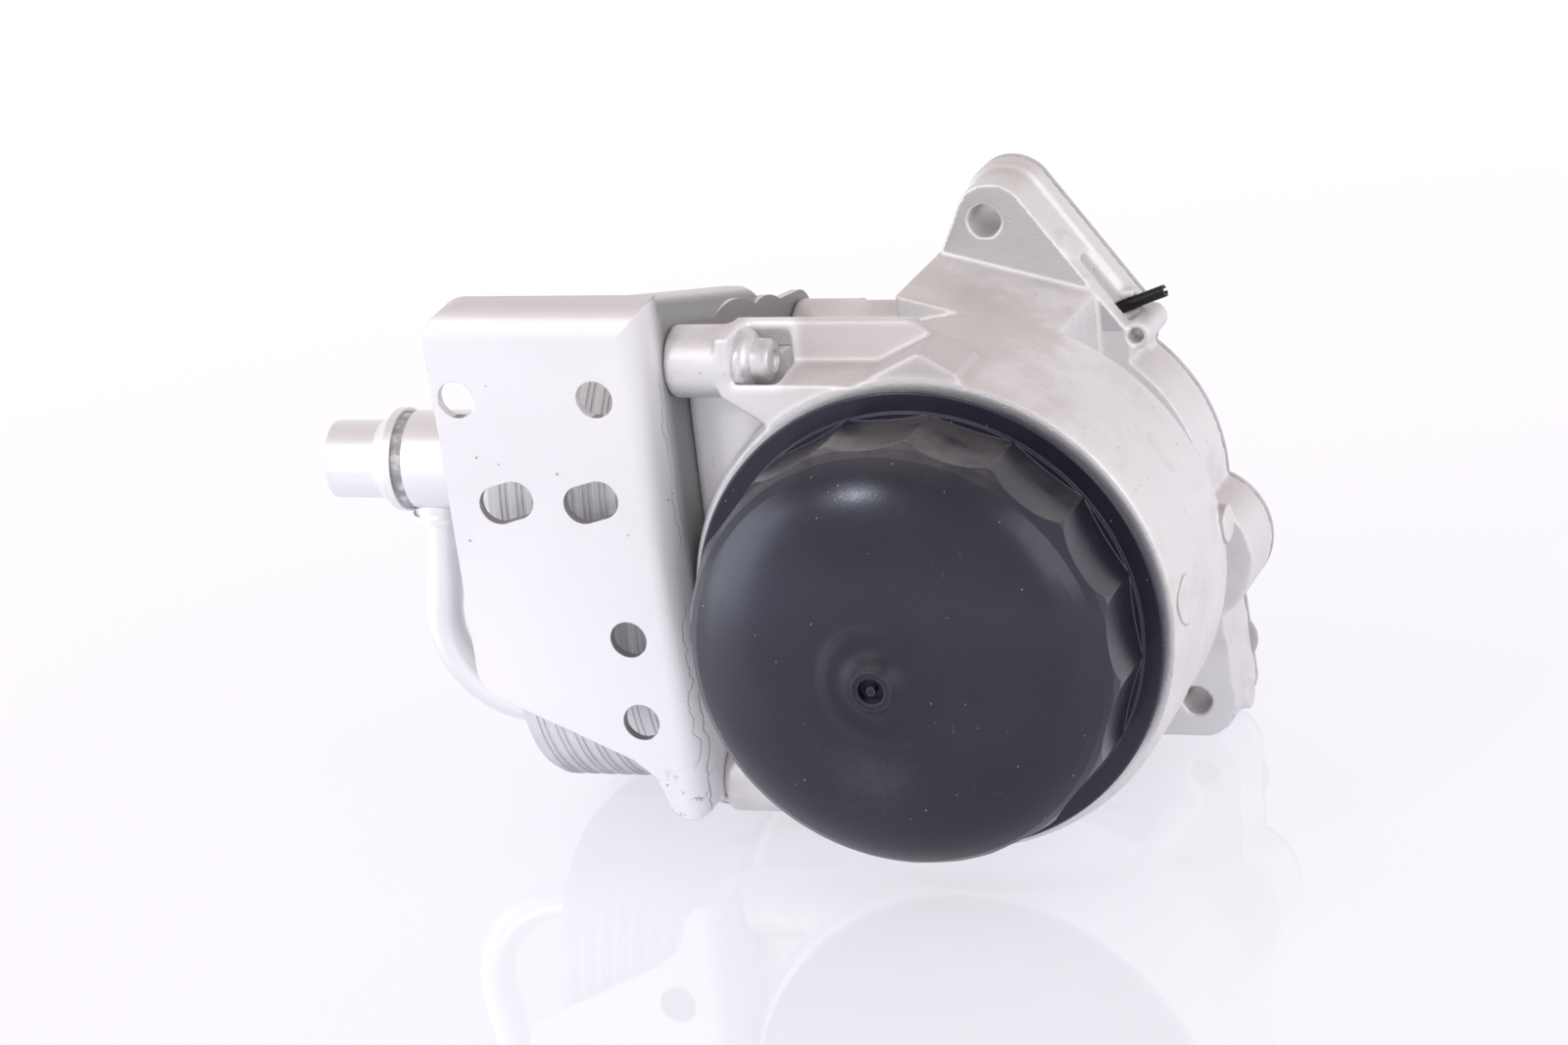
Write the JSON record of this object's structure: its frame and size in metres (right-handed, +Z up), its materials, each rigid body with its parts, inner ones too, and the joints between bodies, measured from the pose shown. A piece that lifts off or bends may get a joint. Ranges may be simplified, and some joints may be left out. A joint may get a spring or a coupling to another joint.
{
  "type": "oil filter housing",
  "caption": "Cast aluminium oil filter housing with a fluted screw cap and a plate oil cooler on its side.",
  "frame": {"origin": "on the bowl's axis, in the plane of the engine gasket's face", "axes": "+Y towards the engine, +X away from the cooler along its bolts, +Z up towards the upper lug"},
  "size_m": [0.1871, 0.1287, 0.1237],
  "materials": {
    "cast": "as cast",
    "gasket": "matt",
    "black_steel": "satin",
    "black_plastic": "satin",
    "seal_rubber": "matt",
    "filter_paper": "matt",
    "filter_disc": "matt",
    "core_plastic": "matt",
    "sheet": "satin",
    "plates": "satin",
    "zinc": "satin",
    "spring_steel": "satin",
    "valve_brass": "satin",
    "tube": "satin"
  },
  "bodies": {
    "housing": {"housing_casting": "cast", "engine_gasket": "gasket", "roll_pin": "black_steel", "standpipe": "black_plastic", "standpipe_seal": "seal_rubber", "anti_drain_membrane": "seal_rubber", "bypass_spring": "spring_steel", "bypass_retainer": "zinc", "cooler_bracket": "sheet", "cooler_base_plate": "plates", "cooler_plates": "plates", "cooler_end_plate": "plates", "cooler_bolts": "zinc", "weld_nuts": "zinc", "port_seals": "seal_rubber", "coolant_socket": "tube", "coolant_spigot": "tube", "spigot_seal": "seal_rubber", "pipe_collar": "tube", "coolant_pipe": "tube", "coolant_outlet": "tube"},
    "filter_element": {"filter_pleats": "filter_paper", "element_front_disc": "filter_disc", "element_rear_disc": "filter_disc", "element_core_tube": "core_plastic", "element_front_seal": "seal_rubber", "element_rear_seal": "seal_rubber"},
    "cap": {"filter_cap": "black_plastic", "cap_o_ring": "seal_rubber"},
    "bypass": {"bypass_disc": "valve_brass"}
  },
  "joints": [
    {"name": "element_slide", "type": "slide", "parent": "housing", "child": "filter_element", "axis": [0, -1, 0], "range_m": [0, 0.012]},
    {"name": "cap_turn", "type": "hinge", "parent": "filter_element", "child": "cap", "pos_m": [0, 0, 0], "axis": [0, -1, 0], "range_deg": [0, 1080]},
    {"name": "bypass_lift", "type": "slide", "parent": "housing", "child": "bypass", "axis": [0, 1, 0], "range_m": [0, 0.003], "stiffness_N_per_m": 1500, "springref_m": -0.002, "deforming": ["bypass_spring"]}
  ],
  "couplings": [
    {"joint": "cap_turn", "follows": "element_slide", "rad_per_m": 1570.8}
  ]
}
